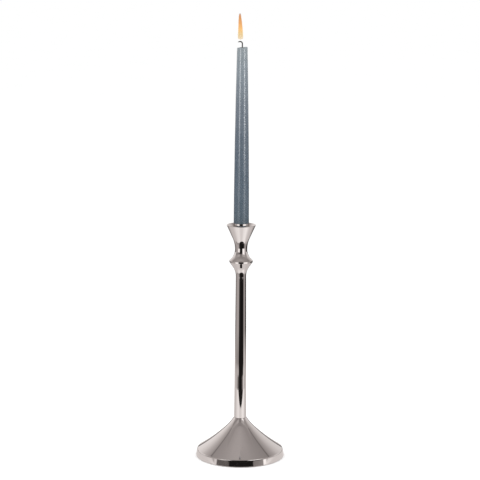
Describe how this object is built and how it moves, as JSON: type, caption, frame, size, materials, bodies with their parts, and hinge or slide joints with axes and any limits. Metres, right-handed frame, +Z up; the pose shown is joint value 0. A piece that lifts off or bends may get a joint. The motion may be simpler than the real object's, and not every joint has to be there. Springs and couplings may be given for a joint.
{
  "type": "candlestick",
  "caption": "Tall polished metal candlestick with a weighted conical base, slim stem and flared cup that holds a tapered dinner candle.",
  "frame": {"origin": "on the stem's axis at the underside of the felt pad, the surface that the candlestick stands on", "axes": "+Z up along the stem, -Y towards the viewer, +X to the right"},
  "size_m": [0.129, 0.129, 0.6456],
  "materials": {
    "polished_nickel": "polished nickel plate",
    "plain_steel": "bright zinc",
    "cast_weight": "as cast, painted dark",
    "felt": "pressed felt",
    "wax": "smooth dyed wax, slightly translucent",
    "wick": "charred cotton braid",
    "flame": "glowing gas"
  },
  "bodies": {
    "candlestick": {"base_shell": "polished_nickel", "stem_tube": "polished_nickel", "neck_collar": "polished_nickel", "candle_cup": "polished_nickel", "socket_ring": "polished_nickel", "foot_bush": "plain_steel", "base_weight": "cast_weight", "tie_rod": "plain_steel", "rod_washer": "plain_steel", "spring_washer": "plain_steel", "hex_nut": "plain_steel", "felt_pad": "felt"},
    "candle": {"candle_wax": "wax", "candle_wick": "wick", "candle_flame": "flame"}
  },
  "joints": [
    {"name": "candle_lift", "type": "slide", "parent": "candlestick", "child": "candle", "axis": [0, 0, 1], "range_m": [0, 0.06]}
  ]
}
